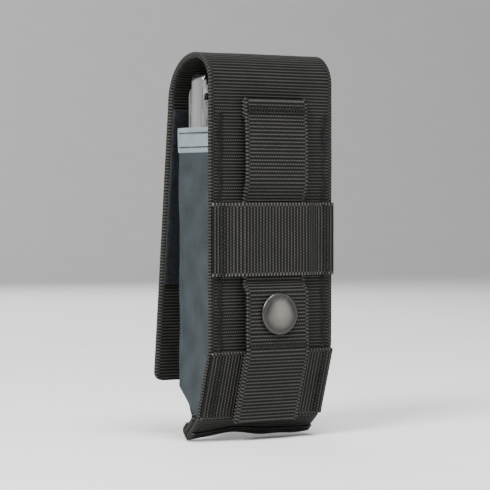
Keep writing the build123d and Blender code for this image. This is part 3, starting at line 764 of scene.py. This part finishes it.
def nap(tape, face, count, half, reach, rise):
    """Small random loops of pile standing on a patch."""
    paths = []
    for _ in range(count):
        across = random.uniform(-half, half)
        along = random.uniform(0.4 * MM, tape.route.length - 0.4 * MM)
        turn = random.uniform(0, TURN)
        dx, ds = math.cos(turn) * reach, math.sin(turn) * reach
        height = rise * random.uniform(0.5, 1.0)
        paths.append([tape.place(across + dx * t, along + ds * t, face + height * lift)
                      for t, lift in ((0.0, -0.2), (0.3, 0.9), (0.8, 1.0), (1.1, -0.2))])
    return paths


thread("loop_nap", nap(loop_tape, 0.5 * MM, 4200, 24.2 * MM, 0.9 * MM, 0.45 * MM), 0.06 * MM,
       "flap", LOOP_PILE)
thread("hook_nap", nap(hook_tape, 0.35 * MM, 1800, 18.4 * MM, 0.45 * MM, 0.42 * MM), 0.08 * MM,
       "sheath", HOOK_PILE)

# ------------------------------------------------------------------ stitching
face = WEB_T / 2
tape_face = TAPE_T / 2
panel_top = along_at(main_tape, lambda point: point.y >= 44.5 * MM)
panel_foot = seam_length + 2 * MM
column_x = 21.9 * MM
thread("panel_stitch", [zigzag(main_tape, face - 0.08 * MM, side * column_x, 2.9 * MM, panel_foot,
                               panel_top, 0.62 * MM) for side in (-1, 1)],
       THREAD_R, "sheath", THREAD)
front_foot = along_at(front_tape, lambda point: point.y <= -48 * MM)
thread("pocket_stitch", [zigzag(front_tape, face + 0.5 * MM, side * 22.4 * MM, 1.8 * MM,
                                3 * MM, front_foot, 0.75 * MM) for side in (-1, 1)],
       THREAD_R, "sheath", THREAD)
strap_tack = along_at(strap_tape, lambda point: point.x < 1.0 * MM and point.y < 48.9 * MM)
thread("strap_tack_stitch", [zigzag(strap_tape, tape_face, strap_tack + 3.0 * MM, 3.2 * MM,
                                    -TAPE_HALF + 0.6 * MM, TAPE_HALF - 0.6 * MM, 0.62 * MM, True)],
       THREAD_R, "sheath", THREAD)
band_ends = (3.6 * MM, band_tape.route.length - 3.6 * MM)
thread("band_stitch", [zigzag(band_tape, tape_face, along, 2.4 * MM, -TAPE_HALF + 0.5 * MM,
                              TAPE_HALF - 0.5 * MM, 0.66 * MM, True) for along in band_ends],
       THREAD_R, "sheath", THREAD)
lower_ends = (3.6 * MM, 2 * HALF - 3.6 * MM)
thread("lower_band_stitch", [zigzag(lower_tape, tape_face, along, 2.4 * MM, -11.8 * MM, 11.8 * MM,
                                    0.66 * MM, True) for along in lower_ends],
       THREAD_R, "sheath", THREAD)
tab_tack = 4.0 * MM
thread("tab_tack_stitch", [zigzag(tab_tape, tape_face, tab_tack, 2.2 * MM, -TAPE_HALF + 0.5 * MM,
                                  TAPE_HALF - 0.5 * MM, 0.62 * MM, True)],
       THREAD_R, "strap", THREAD)
patch_top = main_tape.route.length - FLAP_LENGTH + 5.0 * MM
patch_low = patch_top + 58.5 * MM
patch_half = 23.4 * MM
outline = [(-patch_half, patch_top), (patch_half, patch_top), (patch_half, patch_low),
           (-patch_half, patch_low), (-patch_half, patch_top)]
thread("flap_stitch", lockstitch(main_tape, face, outline), 0.16 * MM, "flap", THREAD,
       sides=1)
hem_run = [(-HALF + 1 * MM, 1.4 * MM), (HALF - 1 * MM, 1.4 * MM)]
thread("hem_stitch", lockstitch(hem_tape, 0.3 * MM, hem_run), 0.16 * MM, "sheath", THREAD,
       sides=1)

# ------------------------------------------------------------------ snap cap
cap_low, cap_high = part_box("snap_cap")
cap_z = (cap_low[2] + cap_high[2]) / 2
cap_base = TAIL_Y - TAPE_T / 2


def turned_cap():
    """The cap's profile spun about the snap's axis: a low dome inside a rolled rim."""
    bm = bmesh.new()
    profile = [(0.0, 2.08), (2.2, 2.02), (4.0, 1.84), (5.3, 1.56), (5.9, 1.36), (6.2, 1.32),
               (6.6, 1.4), (7.0, 1.36), (7.34, 1.1), (7.5, 0.7), (7.4, 0.3), (7.0, 0.04), (6.0, 0.0),
               (2.0, 0.0), (2.0, -1.5), (0.0, -1.5)]
    verts = [bm.verts.new((r * MM, -rise * MM, 0.0)) for r, rise in profile]
    edges = [bm.edges.new(pair) for pair in zip(verts, verts[1:])]
    bmesh.ops.spin(bm, geom=verts + edges, cent=(0, 0, 0), axis=(0, 1, 0), angle=TURN, steps=72,
                   use_merge=True, use_duplicate=False)
    bmesh.ops.remove_doubles(bm, verts=bm.verts, dist=0.002 * MM)
    bmesh.ops.recalc_face_normals(bm, faces=bm.faces)
    bmesh.ops.translate(bm, verts=bm.verts, vec=(0, cap_base, cap_z))
    return bm


cap = finish_piece("snap_cap_dome", turned_cap(), "strap", CAP_METAL)
cap.data.set_sharp_from_angle(angle=math.radians(60))
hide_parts("snap_cap")

# ------------------------------------------------------------------ tool
for side in ("left", "right"):
    softened(f"handle_{side}", f"handle_shell_{side}", HANDLE_STEEL, 0.32 * MM, 3)
    softened(f"implement_axle_{side}", f"axle_rivet_{side}", PIN_STEEL, 0.45 * MM, 3)
    for depth in ("back", "front"):
        softened(f"scale_{side}_{depth}", f"scale_plate_{side}_{depth}", HANDLE_STEEL,
                 0.22 * MM)
for node in ("knife_blade", "serrated_blade", "saw_blade", "file_blade"):
    softened(node, f"{node}_ground", BLADE_STEEL, 0.2 * MM)

finish_of = {"blade_steel": BLADE_STEEL, "pin_steel": PIN_STEEL, "cutter_carbide": DARK_STEEL,
             "snap_inner": DARK_STEEL, "handle_steel": HANDLE_STEEL}
for part in frame["record"]["subparts"]:
    if part["material_slot"] in finish_of:
        for holder in frame["nodes"][part["node"]].material_slots:
            holder.material = finish_of[part["material_slot"]]

# ------------------------------------------------------------------ stage, light and camera
floor_z = cad_box[0][2]


def sweep(name, width, depth, height, curve):
    """A pale floor that curves up into a wall behind the object."""
    bm = bmesh.new()
    bmesh.ops.create_grid(bm, x_segments=2, y_segments=60, size=0.5)
    run = depth + height
    for vert in bm.verts:
        s = (vert.co.y + 0.5) * run
        x = vert.co.x * 2 * width
        if s < depth:
            vert.co = (x, s - 1.2, 0.0)
        else:
            rise = s - depth
            turn = min(rise / curve, math.pi / 2)
            over = max(0.0, rise - curve * math.pi / 2)
            vert.co = (x, depth - 1.2 + curve * math.sin(turn), curve * (1 - math.cos(turn)) + over)
    bmesh.ops.translate(bm, verts=bm.verts, vec=(0, 0, floor_z))
    return finish_piece(name, bm, None, plaster("pale_plaster", (0.78, 0.78, 0.77)))


backdrop = sweep("backdrop", 3.0, 2.6, 3.0, 0.8)


def area_light(name, place, size, power):
    """A soft square light at a place, turned to the object."""
    lamp = bpy.data.lights.new(name, "AREA")
    lamp.size = size
    lamp.energy = power
    holder = bpy.data.objects.new(name, lamp)
    holder.location = place
    holder.rotation_euler = (-Vector(place)).to_track_quat("-Z", "Y").to_euler()
    bpy.context.scene.collection.objects.link(holder)


area_light("key", (-1.0, -0.5, 0.9), 0.45, 34.0)
area_light("top", (-0.1, -0.5, 1.2), 0.5, 22.0)
area_light("fill", (0.8, -1.2, 0.3), 0.8, 7.0)
area_light("back", (0.3, 1.1, 0.6), 0.8, 8.0)
world = bpy.data.worlds.new("studio")
world.use_nodes = True
world.node_tree.nodes["Background"].inputs["Color"].default_value = (0.9, 0.92, 0.95, 1.0)
world.node_tree.nodes["Background"].inputs["Strength"].default_value = 0.28
bpy.context.scene.world = world

CAMERA_TURN = math.radians(-32.6)
CAMERA_RISE = math.radians(1.2)
CAMERA_REACH = 0.780
aim = Vector((-9.9, 5.5, -2.0)) * MM
back = Vector((math.sin(CAMERA_TURN) * math.cos(CAMERA_RISE),
               -math.cos(CAMERA_TURN) * math.cos(CAMERA_RISE), math.sin(CAMERA_RISE)))
lens = bpy.data.cameras.new("camera")
lens.lens = 162.4
lens.clip_start = 0.01
camera = bpy.data.objects.new("camera", lens)
camera.location = aim + back * CAMERA_REACH
camera.rotation_euler = (-back).to_track_quat("-Z", "Y").to_euler()
bpy.context.scene.collection.objects.link(camera)
bpy.context.scene.camera = camera
